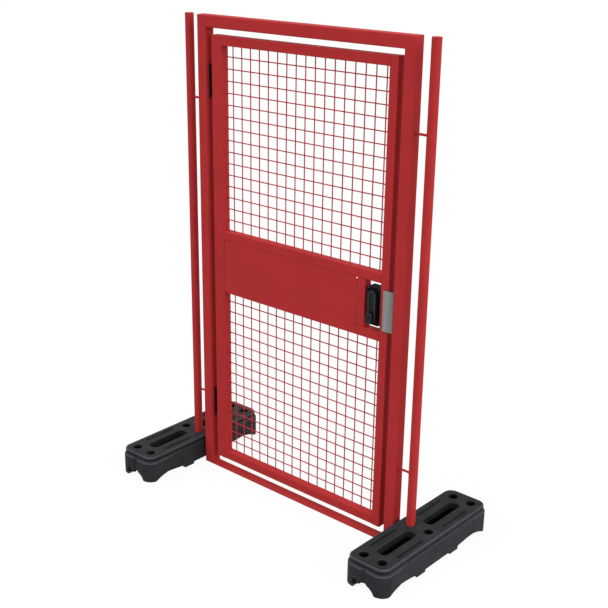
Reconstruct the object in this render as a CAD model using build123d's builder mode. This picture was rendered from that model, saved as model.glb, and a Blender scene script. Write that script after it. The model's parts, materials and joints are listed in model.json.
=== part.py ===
from build123d import *
import os

# Pedestrian gate for a temporary fence: a welded tube frame between two fence poles, which stand in
# heavy moulded feet, and a mesh leaf on two pin hinges with a lever latch.
# Millimetres. X runs across the opening, the front faces -Y, Z is up, and the origin lies on the
# ground below the middle of the frame. The hinge side is -X and the lock side is +X.

# Outer frame
frame_width = 1122
frame_height = 2084
frame_tube = 50
frame_wall = 2
frame_corner = 4
end_plate = 3
end_plate_bevel = 2.5
sill_thickness = 5

# Fence poles and the struts that carry them
pole_diameter = 38
pole_wall = 2
pole_standoff = 70.4
strut_diameter = 10
low_strut_height = 356
high_strut_drop = 350

# Leaf and the gaps around it
hinge_gap = 26
lock_gap = 29
top_gap = 28
sill_gap = 49
leaf_tube = 40
leaf_wall = 2
leaf_corner = 3
leaf_setback = 8
hinge_stile_width = 60
panel_height = 204
lock_bay_width = 77

# Folded mid panel
panel_sheet = 1.5
panel_inset = 1
panel_fold = 22
panel_round = 2.5
panel_relief = 6

# Welded mesh
mesh_pitch = 50
wire_diameter = 5
mesh_back_cover = 3

# Pin hinges
hinge_height = 140
upper_hinge_drop = 193
lower_hinge_rise = 268
flap_thickness = 3
flap_front_inset = 10
hinge_axis_inset = 8
knuckle_clearance = 1
leaf_knuckle = 60
washer_thickness = 2
washer_clearance = 0.5
knuckle_play = 1
pin_diameter = 14
pin_running_clearance = 0.06

# Lock keep and its buffers
lock_drop = 4
keep_height = 170
keep_thickness = 3
keep_lap = 50
keep_depth = 45
keep_bend = 1
buffer_diameter = 12
buffer_spacing = 120
buffer_clearance = 0.3

# Lock case and covers
case_width = 66
case_height = 161
case_lift = 4
case_wall = 2.5
case_corner = 10
case_inner_corner = 7
cover_thickness = 4
cover_bevel = 1.5

# Lever set
hub_backset = 32
hub_drop = 47
neck_diameter = 20
neck_running_clearance = 0.06
lever_gap = 4
lever_width = 38
lever_reach = 95
lever_tail = 14
lever_plate = 8
rim_width = 7.5
rim_height = 4
ridge_width = 7
ridge_height = 2
ridge_margin = 12
boss_width = 32
boss_length = 48
boss_rise = 3
boss_height = 22
boss_bevel = 3
spindle_side = 8
spindle_cover = 6
follower_diameter = 22
follower_side_clearance = 1
arm_reach = 22
arm_shank = 5
arm_tip_diameter = 8
arm_thickness = 8

# Latch bolt and spring
bolt_height = 18
bolt_thickness = 12
bolt_rise = 28
bolt_throw = 9
bolt_bevel = 9
bolt_nose_flat = 3
bolt_guide_clearance = 0.3
keep_slot_clearance = 1.5
tail_slot_clearance = 1
tail_wall = 4
tail_clearance = 4.5
tail_slot_headroom = 2
spring_diameter = 8
spring_wire = 1

# Moulded feet
foot_length = 736
foot_width = 208
foot_height = 125
foot_corner = 48
waist_depth = 4
waist_ramp_start = 96
waist_ramp_length = 64
ledge_drop = 28
ledge_width = 6.5
ledge_bevel = 2
shoulder_rise = 9
shoulder_slope = 9
deck_bevel = 4
socket_diameter = 42
socket_offset = 44.5
socket_end_inset = 58
socket_floor = 25
pocket_width = 52
pocket_gap = 94
pocket_end_inset = 103
pocket_corner = 20
pocket_floor = 45
groove_width = 20
groove_depth = 5
groove_draft = 50
groove_gap = 138
groove_end_inset = 125
groove_edge_inset = 22
middle_relief_length = 172
middle_relief_height = 10
pad_length = 59
side_arch_step = 13
side_arch_crown_inset = 118
side_arch_height = 24
side_arch_flank_inset = 68
side_arch_flank_height = 14
side_arch_end_inset = 38
end_arch_radius = 55
end_arch_height = 34
end_arch_depth = 30
end_tunnel_width = 84
end_tunnel_height = 20
end_tunnel_corner = 12
end_tunnel_depth = 62
end_notch_offset = 47
end_notch_width = 22
end_notch_height = 28
end_notch_bottom = 10
end_notch_depth = 26
end_channel_radius = 20

# Flats that wires and small turned pieces are drawn with
wire_sides = 8
turned_sides = 24

# Places that follow from the sizes
post_outer = frame_width / 2
post_inner = post_outer - frame_tube
post_middle = post_outer - frame_tube / 2
frame_front = -frame_tube / 2
pole_x = post_outer + pole_standoff
foot_x = pole_x + socket_offset
pole_radius = pole_diameter / 2

leaf_left = -post_inner + hinge_gap
leaf_right = post_inner - lock_gap
leaf_bottom = sill_thickness + sill_gap
leaf_top = frame_height - frame_tube - top_gap
leaf_front = frame_front + leaf_setback
leaf_back = leaf_front + leaf_tube
leaf_middle = (leaf_front + leaf_back) / 2
opening_left = leaf_left + hinge_stile_width
opening_right = leaf_right - leaf_tube
opening_width = opening_right - opening_left
opening_height = (leaf_top - leaf_bottom - 4 * leaf_tube - panel_height) / 2
lower_opening = leaf_bottom + leaf_tube
lower_mid_rail_z = lower_opening + opening_height
panel_bottom = lower_mid_rail_z + leaf_tube
upper_mid_rail_z = panel_bottom + panel_height
upper_opening = upper_mid_rail_z + leaf_tube
top_rail_z = leaf_top - leaf_tube
upright_left = opening_right - lock_bay_width - leaf_tube

hinge_x = (leaf_left - post_inner) / 2
hinge_y = leaf_back - hinge_axis_inset
knuckle_radius = hinge_gap / 2 - knuckle_clearance
post_knuckle = (hinge_height - leaf_knuckle - washer_thickness - knuckle_play) / 2
upper_hinge_z = leaf_top - upper_hinge_drop - hinge_height / 2
lower_hinge_z = leaf_bottom + lower_hinge_rise - hinge_height / 2

panel_middle = panel_bottom + panel_height / 2
lock_z = panel_middle - lock_drop
case_z = lock_z + case_lift
case_left = opening_right - case_width
case_depth = leaf_tube - 2 * cover_thickness
case_back_wall = case_left + case_wall
hub_x = opening_right - hub_backset
hub_z = panel_middle - hub_drop
bolt_z = hub_z + bolt_rise
bolt_bottom = bolt_z - bolt_height / 2
bolt_front = leaf_middle - bolt_thickness / 2
bolt_back = leaf_middle + bolt_thickness / 2
bolt_nose = post_inner + bolt_throw
tail_slot = arm_tip_diameter + 2 * tail_slot_clearance
tail_left = hub_x - tail_slot / 2 - tail_wall
tail_right = hub_x + tail_slot / 2 + tail_wall
tail_bottom = hub_z + follower_diameter / 2 + tail_clearance
tail_slot_top = hub_z + arm_reach + arm_tip_diameter / 2 + tail_slot_headroom

sides = {"hinge_side": -1, "lock_side": 1}
hinges = {"upper_hinge": upper_hinge_z, "lower_hinge": lower_hinge_z}
meshes = {"upper_mesh": upper_opening, "lower_mesh": lower_opening}

os.makedirs("parts", exist_ok=True)


def save(piece, name):
    """Label a finished piece and write it."""
    piece.part.label = name
    export_step(piece.part, f"parts/{name}.step")


def tube_section(width, depth, wall, corner):
    """Rectangular tube section, drawn in the open sketch."""
    RectangleRounded(width, depth, corner)
    Rectangle(width - 2 * wall, depth - 2 * wall, mode=Mode.SUBTRACT)


def wire_section():
    """Section of a mesh wire, drawn with flats, on which crossing wires touch."""
    RegularPolygon(wire_diameter / 2, wire_sides, major_radius=False, rotation=180 / wire_sides)


def turned_section(radius, mode=Mode.ADD):
    """Section of a small turned or moulded round, drawn with many flats, which keeps the model light."""
    RegularPolygon(radius, turned_sides, major_radius=False, mode=mode)


def across(x, y, z):
    """Plane whose extrusions run along +X, with Y and Z as its own axes."""
    return Plane(origin=(x, y, z), x_dir=(0, 1, 0), z_dir=(1, 0, 0))


def facing(x, y, z, side):
    """Upright plane whose extrusions run out of the front (side -1) or out of the back (side 1)."""
    return Plane(origin=(x, y, z), x_dir=(-side, 0, 0), z_dir=(0, side, 0))


def mitre(side):
    """Plane through the frame's top corner, with its upper face towards the top rail."""
    return Plane(origin=(side * post_outer, 0, frame_height), z_dir=(-side, 0, 1))


# Posts: the lock post has a slot for the bolt in its inner wall
with BuildPart() as hinge_post:
    with BuildSketch(Plane((-post_middle, 0, end_plate))):
        tube_section(frame_tube, frame_tube, frame_wall, frame_corner)
    extrude(amount=frame_height - end_plate)
    split(bisect_by=mitre(-1), keep=Keep.BOTTOM)
save(hinge_post, "hinge_post")

with BuildPart() as lock_post:
    with BuildSketch(Plane((post_middle, 0, end_plate))):
        tube_section(frame_tube, frame_tube, frame_wall, frame_corner)
    extrude(amount=frame_height - end_plate)
    split(bisect_by=mitre(1), keep=Keep.BOTTOM)
    with BuildSketch(across(post_inner, leaf_middle, bolt_z)):
        Rectangle(bolt_thickness + 2 * keep_slot_clearance, bolt_height + 2 * keep_slot_clearance)
    extrude(amount=frame_wall, mode=Mode.SUBTRACT)
save(lock_post, "lock_post")

with BuildPart() as top_rail:
    with BuildSketch(across(-post_outer, 0, frame_height - frame_tube / 2)):
        tube_section(frame_tube, frame_tube, frame_wall, frame_corner)
    extrude(amount=frame_width)
    split(bisect_by=mitre(-1), keep=Keep.TOP)
    split(bisect_by=mitre(1), keep=Keep.TOP)
save(top_rail, "top_rail")

with BuildPart() as sill_bar:
    with BuildSketch():
        Rectangle(2 * post_inner, frame_tube)
    extrude(amount=sill_thickness)
save(sill_bar, "sill_bar")

with BuildPart() as post_end_plates:
    with BuildSketch() as plates:
        with GridLocations(2 * post_middle, frame_tube, 2, 1):
            Rectangle(frame_tube, frame_tube)
        chamfer(plates.vertices(), end_plate_bevel)
    extrude(amount=end_plate)
save(post_end_plates, "post_end_plates")

# Fence poles: each stands on the floor of a foot's socket and is closed by a disc at its top
for side_name, side in sides.items():
    with BuildPart() as pole:
        with BuildSketch(Plane((side * pole_x, 0, socket_floor))):
            Circle(pole_radius)
            Circle(pole_radius - pole_wall, mode=Mode.SUBTRACT)
        extrude(amount=frame_height - end_plate - socket_floor)
    save(pole, f"{side_name}_pole")

with BuildPart() as pole_caps:
    with BuildSketch(Plane.XY.offset(frame_height - end_plate)):
        with GridLocations(2 * pole_x, pole_diameter, 2, 1):
            Circle(pole_radius)
    extrude(amount=end_plate)
save(pole_caps, "pole_caps")

# Struts: round bar from each post, shaped at its end to the pole it is welded to
strut_rise = frame_height - high_strut_drop - low_strut_height
strut_middle = low_strut_height + strut_rise / 2
with BuildPart() as pole_struts:
    for side in sides.values():
        with BuildSketch(across(side * post_outer, 0, strut_middle)):
            with GridLocations(strut_diameter, strut_rise, 1, 2):
                Circle(strut_diameter / 2)
        extrude(amount=side * pole_standoff)
    with BuildSketch():
        with GridLocations(2 * pole_x, pole_diameter, 2, 1):
            Circle(pole_radius)
    extrude(amount=frame_height, mode=Mode.SUBTRACT)
save(pole_struts, "pole_struts")

# Feet: a ledged block with a waist, six pole sockets, two hand pockets and an underside on pads
foot_wall = foot_width / 2
deck_wall = foot_wall - ledge_width
waist_wall = foot_wall - waist_depth
foot_end = foot_length / 2
waist_end = foot_end - waist_ramp_start
waist_half = waist_end - waist_ramp_length
ledge_z = foot_height - ledge_drop
shoulder_edge = ledge_z + shoulder_rise
socket_spacing = foot_end - socket_end_inset
pocket_length = foot_end - pocket_end_inset - pocket_gap / 2
groove_length = foot_end - groove_end_inset - groove_gap / 2
groove_offset = deck_wall - groove_edge_inset - groove_width / 2
pad_end = middle_relief_length / 2 + pad_length
crown = foot_end - side_arch_crown_inset
flank = foot_end - side_arch_flank_inset
arch_end = foot_end - side_arch_end_inset
for side_name, side in sides.items():
    centre = side * foot_x
    with BuildPart() as foot:
        with BuildSketch(Plane((centre, 0, 0))):
            RectangleRounded(foot_width, foot_length, foot_corner)
            for hand in (-1, 1):
                with BuildLine():
                    Polyline(
                        (hand * foot_wall, -waist_end),
                        (hand * waist_wall, -waist_half),
                        (hand * waist_wall, waist_half),
                        (hand * foot_wall, waist_end),
                        close=True,
                    )
                make_face(mode=Mode.SUBTRACT)
        extrude(amount=ledge_z)
        chamfer(foot.edges().group_by(Axis.Z)[-1], ledge_bevel)
        with BuildSketch(facing(centre, 0, 0, 1)):
            with BuildLine():
                Polyline(
                    (-waist_wall, 0),
                    (-waist_wall, shoulder_edge),
                    (-deck_wall, shoulder_edge + shoulder_slope),
                    (deck_wall, shoulder_edge + shoulder_slope),
                    (waist_wall, shoulder_edge),
                    (waist_wall, 0),
                    close=True,
                )
            make_face()
        extrude(amount=waist_half, both=True)
        with BuildSketch(Plane((centre, 0, ledge_z))):
            RectangleRounded(2 * deck_wall, foot_length - 2 * ledge_width, foot_corner - ledge_width)
        extrude(amount=ledge_drop)
        chamfer(foot.edges().group_by(Axis.Z)[-1], deck_bevel)

        with BuildSketch(Plane((centre, 0, foot_height))):
            with GridLocations(2 * socket_offset, socket_spacing, 2, 3):
                Circle(socket_diameter / 2)
        extrude(amount=socket_floor - foot_height, mode=Mode.SUBTRACT)
        with BuildSketch(Plane((centre, 0, foot_height))):
            with GridLocations(pocket_width, pocket_gap + pocket_length, 1, 2):
                RectangleRounded(pocket_width, pocket_length, pocket_corner)
        extrude(amount=pocket_floor - foot_height, mode=Mode.SUBTRACT)
        with BuildSketch(Plane((centre, 0, foot_height))):
            with GridLocations(2 * groove_offset, groove_gap + groove_length, 2, 2):
                Rectangle(groove_width, groove_length)
        extrude(amount=-groove_depth, taper=groove_draft, mode=Mode.SUBTRACT)

        for end in (-1, 1):
            with BuildSketch(across(centre, 0, 0)):
                with BuildLine():
                    Polyline(
                        (end * arch_end, 0),
                        (end * pad_end, 0),
                        (end * pad_end, side_arch_step),
                        (end * crown, side_arch_height),
                    )
                    ThreePointArc(
                        (end * crown, side_arch_height),
                        (end * flank, side_arch_flank_height),
                        (end * arch_end, 0),
                    )
                make_face()
            extrude(amount=foot_wall, both=True, mode=Mode.SUBTRACT)
        with BuildSketch(across(centre, 0, 0)):
            Rectangle(middle_relief_length, 2 * middle_relief_height)
        extrude(amount=foot_wall, both=True, mode=Mode.SUBTRACT)

        for end in (-1, 1):
            end_face = facing(centre, end * foot_end, 0, end)
            with BuildSketch(end_face):
                with Locations((0, end_arch_height - end_arch_radius)):
                    Circle(end_arch_radius)
            extrude(amount=-end_arch_depth, mode=Mode.SUBTRACT)
            with BuildSketch(end_face):
                RectangleRounded(end_tunnel_width, 2 * end_tunnel_height, end_tunnel_corner)
            extrude(amount=-end_tunnel_depth, mode=Mode.SUBTRACT)
            with BuildSketch(end_face):
                with Locations((-end_notch_offset, end_notch_bottom + end_notch_height / 2)):
                    Rectangle(end_notch_width, end_notch_height)
            extrude(amount=-end_notch_depth, mode=Mode.SUBTRACT)
            channel_y = end * (foot_end - ledge_width + end_channel_radius)
            with BuildSketch(Plane((centre, channel_y, 0))):
                Circle(end_channel_radius)
            extrude(amount=ledge_z, mode=Mode.SUBTRACT)
    save(foot, f"{side_name}_foot")

# Leaf: full-height stiles closed by end plates, with the rails between them
with BuildPart() as hinge_stile:
    with BuildSketch(Plane((leaf_left + hinge_stile_width / 2, leaf_middle, leaf_bottom + end_plate))):
        tube_section(hinge_stile_width, leaf_tube, leaf_wall, leaf_corner)
    extrude(amount=leaf_top - leaf_bottom - 2 * end_plate)
save(hinge_stile, "hinge_stile")

with BuildPart() as lock_stile:
    with BuildSketch(Plane((leaf_right - leaf_tube / 2, leaf_middle, leaf_bottom + end_plate))):
        tube_section(leaf_tube, leaf_tube, leaf_wall, leaf_corner)
    extrude(amount=leaf_top - leaf_bottom - 2 * end_plate)
    with BuildSketch(across(opening_right, leaf_middle, bolt_z)):
        Rectangle(bolt_thickness + 2 * bolt_guide_clearance, bolt_height + 2 * bolt_guide_clearance)
    extrude(amount=leaf_tube, mode=Mode.SUBTRACT)
save(lock_stile, "lock_stile")

with BuildPart() as stile_end_plates:
    for plate_z in (leaf_bottom, leaf_top - end_plate):
        with BuildSketch(Plane((0, leaf_middle, plate_z))) as plates:
            with Locations((leaf_left + hinge_stile_width / 2, 0)):
                Rectangle(hinge_stile_width, leaf_tube)
            with Locations((leaf_right - leaf_tube / 2, 0)):
                Rectangle(leaf_tube, leaf_tube)
            chamfer(plates.vertices(), end_plate_bevel)
        extrude(amount=end_plate)
save(stile_end_plates, "stile_end_plates")

rails = {
    "leaf_bottom_rail": leaf_bottom,
    "lower_mid_rail": lower_mid_rail_z,
    "upper_mid_rail": upper_mid_rail_z,
    "leaf_top_rail": top_rail_z,
}
for rail_name, rail_z in rails.items():
    with BuildPart() as rail:
        with BuildSketch(across(opening_left, leaf_middle, rail_z + leaf_tube / 2)):
            tube_section(leaf_tube, leaf_tube, leaf_wall, leaf_corner)
        extrude(amount=opening_width)
    save(rail, rail_name)

with BuildPart() as lock_bay_upright:
    with BuildSketch(Plane((upright_left + leaf_tube / 2, leaf_middle, panel_bottom))):
        tube_section(leaf_tube, leaf_tube, leaf_wall, leaf_corner)
    extrude(amount=panel_height)
save(lock_bay_upright, "lock_bay_upright")

# Mid panel: a sheet tray, notched at its corners, with its open side to the back and its folds welded
# to the tubes around it
panel_centre_x = (opening_left + upright_left) / 2
with BuildPart() as mid_panel:
    with BuildSketch(facing(panel_centre_x, leaf_front + panel_inset, panel_middle, 1)):
        Rectangle(upright_left - opening_left, panel_height)
    extrude(amount=panel_fold)
    fillet(mid_panel.faces().sort_by(Axis.Y)[0].edges(), panel_round)
    offset(amount=-panel_sheet, openings=mid_panel.faces().sort_by(Axis.Y)[-1])
    with BuildSketch(facing(panel_centre_x, leaf_front + panel_inset, panel_middle, 1)):
        with GridLocations(upright_left - opening_left, panel_height, 2, 2):
            Rectangle(2 * panel_relief, 2 * panel_relief)
    extrude(amount=panel_fold, mode=Mode.SUBTRACT)
save(mid_panel, "mid_panel")

# Welded mesh: cross wires in front of the upright wires, all ending on the tubes around the opening
upright_count = 2 * int(opening_width / 2 / mesh_pitch) + 1
crosswire_count = 2 * int(opening_height / 2 / mesh_pitch) + 1
upright_wire_y = leaf_back - mesh_back_cover - wire_diameter / 2
crosswire_y = upright_wire_y - wire_diameter
opening_middle_x = (opening_left + opening_right) / 2
for mesh_name, opening_z in meshes.items():
    with BuildPart() as uprights:
        with BuildSketch(Plane((opening_middle_x, upright_wire_y, opening_z))):
            with GridLocations(mesh_pitch, mesh_pitch, upright_count, 1):
                wire_section()
        extrude(amount=opening_height)
    save(uprights, f"{mesh_name}_uprights")

    with BuildPart() as crosswires:
        with BuildSketch(across(opening_left, crosswire_y, opening_z + opening_height / 2)):
            with GridLocations(mesh_pitch, mesh_pitch, 1, crosswire_count):
                wire_section()
        extrude(amount=opening_width)
    save(crosswires, f"{mesh_name}_crosswires")

# Pin hinges: the post flap has the outer knuckles and the leaf flap the middle one
flap_front = leaf_front + flap_front_inset
knuckle_front = hinge_y - knuckle_radius - knuckle_clearance
for hinge_name, hinge_z in hinges.items():
    leaf_knuckle_z = hinge_z + post_knuckle + washer_thickness
    top_knuckle_z = hinge_z + hinge_height - post_knuckle

    with BuildPart() as post_flap:
        with BuildSketch(Plane((-post_inner, 0, hinge_z))):
            with Locations((flap_thickness / 2, (flap_front + knuckle_front) / 2)):
                Rectangle(flap_thickness, knuckle_front - flap_front)
        extrude(amount=hinge_height)
        for knuckle_z in (hinge_z, top_knuckle_z):
            with BuildSketch(Plane((-post_inner, 0, knuckle_z))):
                with Locations((flap_thickness / 2, (flap_front + hinge_y) / 2)):
                    Rectangle(flap_thickness, hinge_y - flap_front)
                with Locations((hinge_x + post_inner, hinge_y)):
                    Circle(knuckle_radius)
            extrude(amount=post_knuckle)
        with BuildSketch(Plane((hinge_x, hinge_y, hinge_z))):
            Circle(pin_diameter / 2)
        extrude(amount=hinge_height, mode=Mode.SUBTRACT)
    save(post_flap, f"{hinge_name}_post_flap")

    with BuildPart() as leaf_flap:
        with BuildSketch(Plane((leaf_left, 0, leaf_knuckle_z))):
            with Locations((-flap_thickness / 2, (flap_front + hinge_y) / 2)):
                Rectangle(flap_thickness, hinge_y - flap_front)
            with Locations((hinge_x - leaf_left, hinge_y)):
                Circle(knuckle_radius)
                Circle(pin_diameter / 2 + pin_running_clearance, mode=Mode.SUBTRACT)
        extrude(amount=leaf_knuckle)
        with BuildSketch(Plane((leaf_left, 0, hinge_z))):
            with Locations((-flap_thickness / 2, (flap_front + knuckle_front) / 2)):
                Rectangle(flap_thickness, knuckle_front - flap_front)
        extrude(amount=hinge_height)
    save(leaf_flap, f"{hinge_name}_leaf_flap")

    with BuildPart() as hinge_pin:
        with BuildSketch(Plane((hinge_x, hinge_y, hinge_z))):
            Circle(pin_diameter / 2)
        extrude(amount=hinge_height)
    save(hinge_pin, f"{hinge_name}_pin")

    with BuildPart() as hinge_washer:
        with BuildSketch(Plane((hinge_x, hinge_y, hinge_z + post_knuckle))):
            turned_section(knuckle_radius - washer_clearance)
            turned_section(pin_diameter / 2 + washer_clearance, mode=Mode.SUBTRACT)
        extrude(amount=washer_thickness)
    save(hinge_washer, f"{hinge_name}_washer")

# Lock keep: a bent angle on the lock post, with a front leg that the leaf closes against
keep_edge = post_inner - keep_lap
keep_back = frame_front + keep_thickness
with BuildPart() as lock_keep:
    with BuildSketch(Plane.XY.offset(lock_z - keep_height / 2)):
        with BuildLine():
            Polyline(
                (keep_edge, frame_front),
                (post_inner, frame_front),
                (post_inner, frame_front + keep_depth),
                (post_inner - keep_thickness, frame_front + keep_depth),
                (post_inner - keep_thickness, keep_back),
                (keep_edge, keep_back),
                close=True,
            )
        make_face()
    extrude(amount=keep_height)
    bend_edges = lock_keep.edges().filter_by(Axis.Z)
    fillet(bend_edges.sort_by_distance((post_inner, frame_front, lock_z))[0], keep_bend + keep_thickness)
    inner_bend = (post_inner - keep_thickness, keep_back, lock_z)
    fillet(lock_keep.edges().filter_by(Axis.Z).sort_by_distance(inner_bend)[0], keep_bend)
    with BuildSketch(across(post_inner - keep_thickness, leaf_middle, bolt_z)):
        Rectangle(bolt_thickness + 2 * keep_slot_clearance, bolt_height + 2 * keep_slot_clearance)
    extrude(amount=keep_thickness, mode=Mode.SUBTRACT)
save(lock_keep, "lock_keep")

with BuildPart() as keep_buffers:
    with BuildSketch(facing((keep_edge + leaf_right) / 2, keep_back, lock_z, 1)):
        with GridLocations(buffer_diameter, buffer_spacing, 1, 2):
            turned_section(buffer_diameter / 2)
    extrude(amount=leaf_setback - keep_thickness - buffer_clearance)
save(keep_buffers, "keep_buffers")

# Lock case and its two covers, fixed to the lock stile's inner face
case_centre_x = case_left + case_width / 2
with BuildPart() as lock_case:
    with BuildSketch(facing(case_centre_x, leaf_middle, case_z, -1)):
        RectangleRounded(case_width, case_height, case_corner)
        RectangleRounded(
            case_width - 2 * case_wall,
            case_height - 2 * case_wall,
            case_inner_corner,
            mode=Mode.SUBTRACT,
        )
    extrude(amount=case_depth / 2, both=True)
    with BuildSketch(across(opening_right - case_wall, leaf_middle, bolt_z)):
        Rectangle(bolt_thickness + 2 * bolt_guide_clearance, bolt_height + 2 * bolt_guide_clearance)
    extrude(amount=case_wall, mode=Mode.SUBTRACT)
save(lock_case, "lock_case")

for cover_name, side in (("lock_front_cover", -1), ("lock_rear_cover", 1)):
    seat = leaf_middle + side * case_depth / 2
    with BuildPart() as cover:
        with BuildSketch(facing(case_centre_x, seat, case_z, side)):
            RectangleRounded(case_width, case_height, case_corner)
        extrude(amount=cover_thickness)
        chamfer(cover.faces().sort_by(Axis.Y)[-1 if side > 0 else 0].edges(), cover_bevel)
        with BuildSketch(facing(hub_x, seat, hub_z, side)):
            Circle(neck_diameter / 2 + neck_running_clearance)
        extrude(amount=cover_thickness, mode=Mode.SUBTRACT)
    save(cover, cover_name)

# Levers: a rimmed paddle with an oval boss, a neck that turns in the cover and a square socket
plate_top = lever_gap + lever_plate
boss_top = plate_top + boss_height
ridge_length = lever_reach - ridge_margin


def paddle_section(margin, mode=Mode.ADD):
    """Paddle outline drawn in by a margin: round at its upper end and straight below the hub."""
    half = lever_width / 2 - margin
    length = lever_reach + lever_tail - margin
    with Locations((0, lever_reach - length / 2)):
        Rectangle(2 * half, length, mode=mode)
    with Locations((0, lever_reach)):
        Circle(half, mode=mode)


for lever_name, side in (("front_lever", -1), ("rear_lever", 1)):
    cover_face = leaf_middle + side * leaf_tube / 2
    plate_back = facing(hub_x, cover_face + side * lever_gap, hub_z, side)
    plate_front = facing(hub_x, cover_face + side * plate_top, hub_z, side)
    neck_end = facing(hub_x, cover_face - side * cover_thickness, hub_z, side)
    with BuildPart() as lever:
        with BuildSketch(neck_end):
            Circle(neck_diameter / 2)
        extrude(amount=cover_thickness + lever_gap)
        with BuildSketch(plate_back):
            paddle_section(0)
        extrude(amount=lever_plate)
        with BuildSketch(plate_front):
            paddle_section(0)
            paddle_section(rim_width, mode=Mode.SUBTRACT)
        extrude(amount=rim_height)
        with BuildSketch(plate_front):
            with Locations((0, ridge_length / 2)):
                Rectangle(ridge_width, ridge_length)
        extrude(amount=ridge_height)
        with BuildSketch(plate_front):
            with Locations((0, boss_rise)):
                SlotOverall(boss_length, boss_width, rotation=90)
        extrude(amount=boss_height)
        chamfer(lever.faces().sort_by(Axis.Y)[-1 if side > 0 else 0].edges(), boss_bevel)
        with BuildSketch(neck_end):
            Rectangle(spindle_side, spindle_side)
        extrude(amount=cover_thickness + boss_top - spindle_cover, mode=Mode.SUBTRACT)
    save(lever, lever_name)

with BuildPart() as handle_spindle:
    with BuildSketch(facing(hub_x, leaf_middle, hub_z, -1)):
        Rectangle(spindle_side, spindle_side)
    extrude(amount=leaf_tube / 2 + boss_top - spindle_cover, both=True)
save(handle_spindle, "handle_spindle")

with BuildPart() as follower:
    with BuildSketch(facing(hub_x, leaf_middle, hub_z, -1)):
        turned_section(follower_diameter / 2)
    extrude(amount=case_depth / 2 - follower_side_clearance, both=True)
    with BuildSketch(facing(hub_x, leaf_middle, hub_z, -1)):
        with Locations((0, arm_reach / 2)):
            Rectangle(arm_shank, arm_reach)
        with Locations((0, arm_reach)):
            Circle(arm_tip_diameter / 2)
    extrude(amount=arm_thickness / 2, both=True)
    with BuildSketch(facing(hub_x, leaf_middle, hub_z, -1)):
        Rectangle(spindle_side, spindle_side)
    extrude(amount=case_depth, both=True, mode=Mode.SUBTRACT)
save(follower, "follower")

# Latch bolt: bevelled towards the front, with a slotted tail that the follower's arm drives
with BuildPart() as latch_bolt:
    with BuildSketch(Plane.XY.offset(bolt_bottom)):
        with BuildLine():
            Polyline(
                (tail_left, bolt_front),
                (bolt_nose - bolt_bevel, bolt_front),
                (bolt_nose, bolt_back - bolt_nose_flat),
                (bolt_nose, bolt_back),
                (tail_left, bolt_back),
                close=True,
            )
        make_face()
    extrude(amount=bolt_height)
    with BuildSketch(Plane((hub_x, leaf_middle, tail_bottom))):
        Rectangle(tail_right - tail_left, bolt_thickness)
    extrude(amount=bolt_bottom - tail_bottom)
    with BuildSketch(Plane((hub_x, leaf_middle, tail_bottom))):
        Rectangle(tail_slot, bolt_thickness)
    extrude(amount=tail_slot_top - tail_bottom, mode=Mode.SUBTRACT)
save(latch_bolt, "latch_bolt")

with BuildPart() as latch_spring:
    with BuildSketch(across(case_back_wall, leaf_middle, bolt_z)):
        turned_section(spring_diameter / 2)
        turned_section(spring_diameter / 2 - spring_wire, mode=Mode.SUBTRACT)
    extrude(amount=tail_left - case_back_wall)
save(latch_spring, "latch_spring")
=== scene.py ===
import json
import math

import bmesh
import bpy
import numpy
from mathutils import Euler, Matrix, Vector


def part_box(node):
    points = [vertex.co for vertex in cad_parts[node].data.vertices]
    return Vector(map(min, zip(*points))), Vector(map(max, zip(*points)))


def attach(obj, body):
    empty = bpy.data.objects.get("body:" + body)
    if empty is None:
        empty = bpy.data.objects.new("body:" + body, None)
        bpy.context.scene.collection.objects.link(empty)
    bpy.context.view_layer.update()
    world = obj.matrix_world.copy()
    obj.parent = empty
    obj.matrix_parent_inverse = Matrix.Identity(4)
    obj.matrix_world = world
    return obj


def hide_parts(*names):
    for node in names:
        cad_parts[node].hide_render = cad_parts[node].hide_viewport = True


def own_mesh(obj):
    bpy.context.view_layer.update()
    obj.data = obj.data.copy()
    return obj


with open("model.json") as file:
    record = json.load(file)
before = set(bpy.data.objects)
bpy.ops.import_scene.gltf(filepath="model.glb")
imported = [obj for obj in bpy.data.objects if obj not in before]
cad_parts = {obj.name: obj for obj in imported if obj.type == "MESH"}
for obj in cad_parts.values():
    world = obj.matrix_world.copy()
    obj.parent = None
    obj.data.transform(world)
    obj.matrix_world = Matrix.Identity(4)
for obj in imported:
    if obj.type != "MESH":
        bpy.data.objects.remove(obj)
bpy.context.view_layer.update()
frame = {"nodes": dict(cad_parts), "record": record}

# Lengths are metres in the frame's own axes, X across the opening, -Y out of the front and Z up,
# and millimetres where a comment or a docstring says so.
MM = 0.001


def linear(hex_colour):
    """Linear RGBA of an sRGB hex colour."""
    parts = [int(hex_colour[i:i + 2], 16) / 255 for i in (1, 3, 5)]
    curve = [c / 12.92 if c <= 0.04045 else ((c + 0.055) / 1.055) ** 2.4 for c in parts]
    return (*curve, 1.0)


def add(tree, kind, inputs=None, **settings):
    """Adds a node with its settings.

    Inputs maps a socket to a value, or to the socket that feeds it.
    """
    made = tree.nodes.new(kind)
    for name, value in settings.items():
        setattr(made, name, value)
    for socket, value in (inputs or {}).items():
        if isinstance(value, bpy.types.NodeSocket):
            tree.links.new(value, made.inputs[socket])
        else:
            made.inputs[socket].default_value = value
    return made


def corners(node):
    """A node's lowest and highest corners."""
    return [Vector(corner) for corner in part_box(node)]


def span(node):
    """A node's lowest and highest corners in millimetres."""
    return [corner / MM for corner in corners(node)]


# Finishes
# Attributes of a moulded piece, from 0 to 1: how much painted shade darkens it, and how much
# painted highlight lightens it
PAINTED_SHADE = "soiled"
PAINTED_HIGHLIGHT = "rubbed"
# Sockets of a Mix node for colours, which share their names with those for other kinds
MIX_SHARE, MIX_FROM, MIX_TO = 0, 6, 7
MIX_RESULT = 2
# The middle of a noise texture's values, over which a pattern goes from one end to the other
NOISE_FROM = 0.3
NOISE_TO = 0.7
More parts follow.
